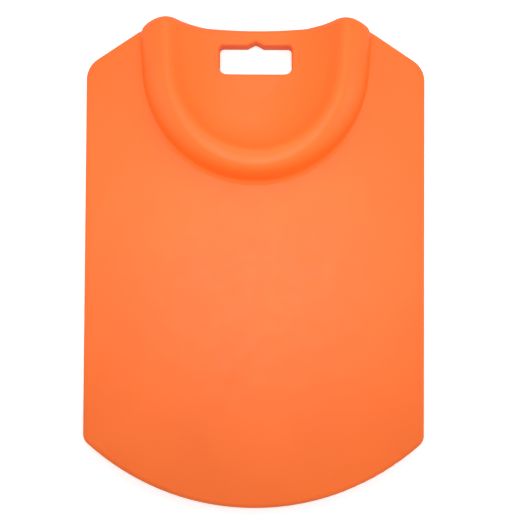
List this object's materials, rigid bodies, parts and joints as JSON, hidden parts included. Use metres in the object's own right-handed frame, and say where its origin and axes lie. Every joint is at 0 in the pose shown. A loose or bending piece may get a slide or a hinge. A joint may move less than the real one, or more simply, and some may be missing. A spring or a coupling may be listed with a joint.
{
  "type": "cardiac compression board",
  "caption": "Moulded back board slid under a patient for chest compressions, with a raised U-shaped neck ridge, a dished head rest and a hand slot with a hanging notch.",
  "frame": {"origin": "on the back's plane, under the middle of the bounding box", "axes": "+X across the board, +Y from the foot end to the head end with the hand slot, +Z out of the face that the patient lies on"},
  "size_m": [0.42, 0.598, 0.0571],
  "materials": {
    "shell": "satin",
    "foam": "matte",
    "plug": "satin"
  },
  "bodies": {
    "root": {"face_shell": "shell", "back_shell": "shell", "core_slab": "foam", "ridge_core": "foam", "fill_plug": "plug", "vent_plugs": "plug"}
  },
  "joints": []
}
